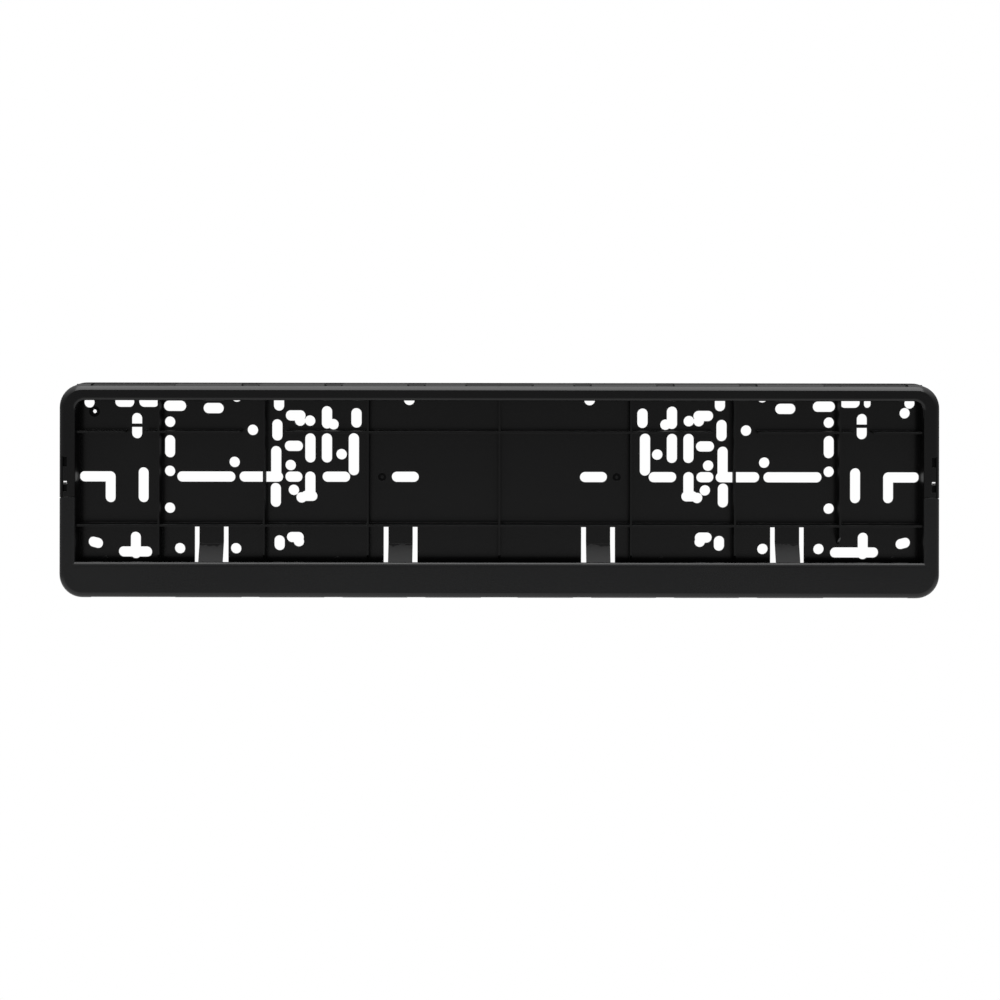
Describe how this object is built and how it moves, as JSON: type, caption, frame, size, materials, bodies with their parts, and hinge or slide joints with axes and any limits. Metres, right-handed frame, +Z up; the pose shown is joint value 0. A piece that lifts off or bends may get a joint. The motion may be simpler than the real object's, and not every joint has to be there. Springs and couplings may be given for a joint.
{
  "type": "number plate holder",
  "caption": "Black moulded number plate holder: a ribbed, slotted tray with a narrow surround, and a hinged lower flap that shuts over the plate's lower edge.",
  "frame": {"origin": "midway between the two middle fixing slots, on the back face that lies on the car", "axes": "+X along the plate's width, +Y through the holder towards the car, +Z up; the plate faces -Y"},
  "size_m": [0.5416, 0.016, 0.1317],
  "materials": {
    "tray_plastic": "black, semi-matt moulded",
    "flap_plastic": "black, satin moulded"
  },
  "bodies": {
    "holder": {"base": "tray_plastic"},
    "front_flap": {"flap": "flap_plastic"}
  },
  "joints": [
    {"name": "flap_hinge", "type": "hinge", "parent": "holder", "child": "front_flap", "pos_m": [0, -0.0108, 0.001], "axis": [-1, 0, 0], "range_deg": [0, 35]}
  ]
}
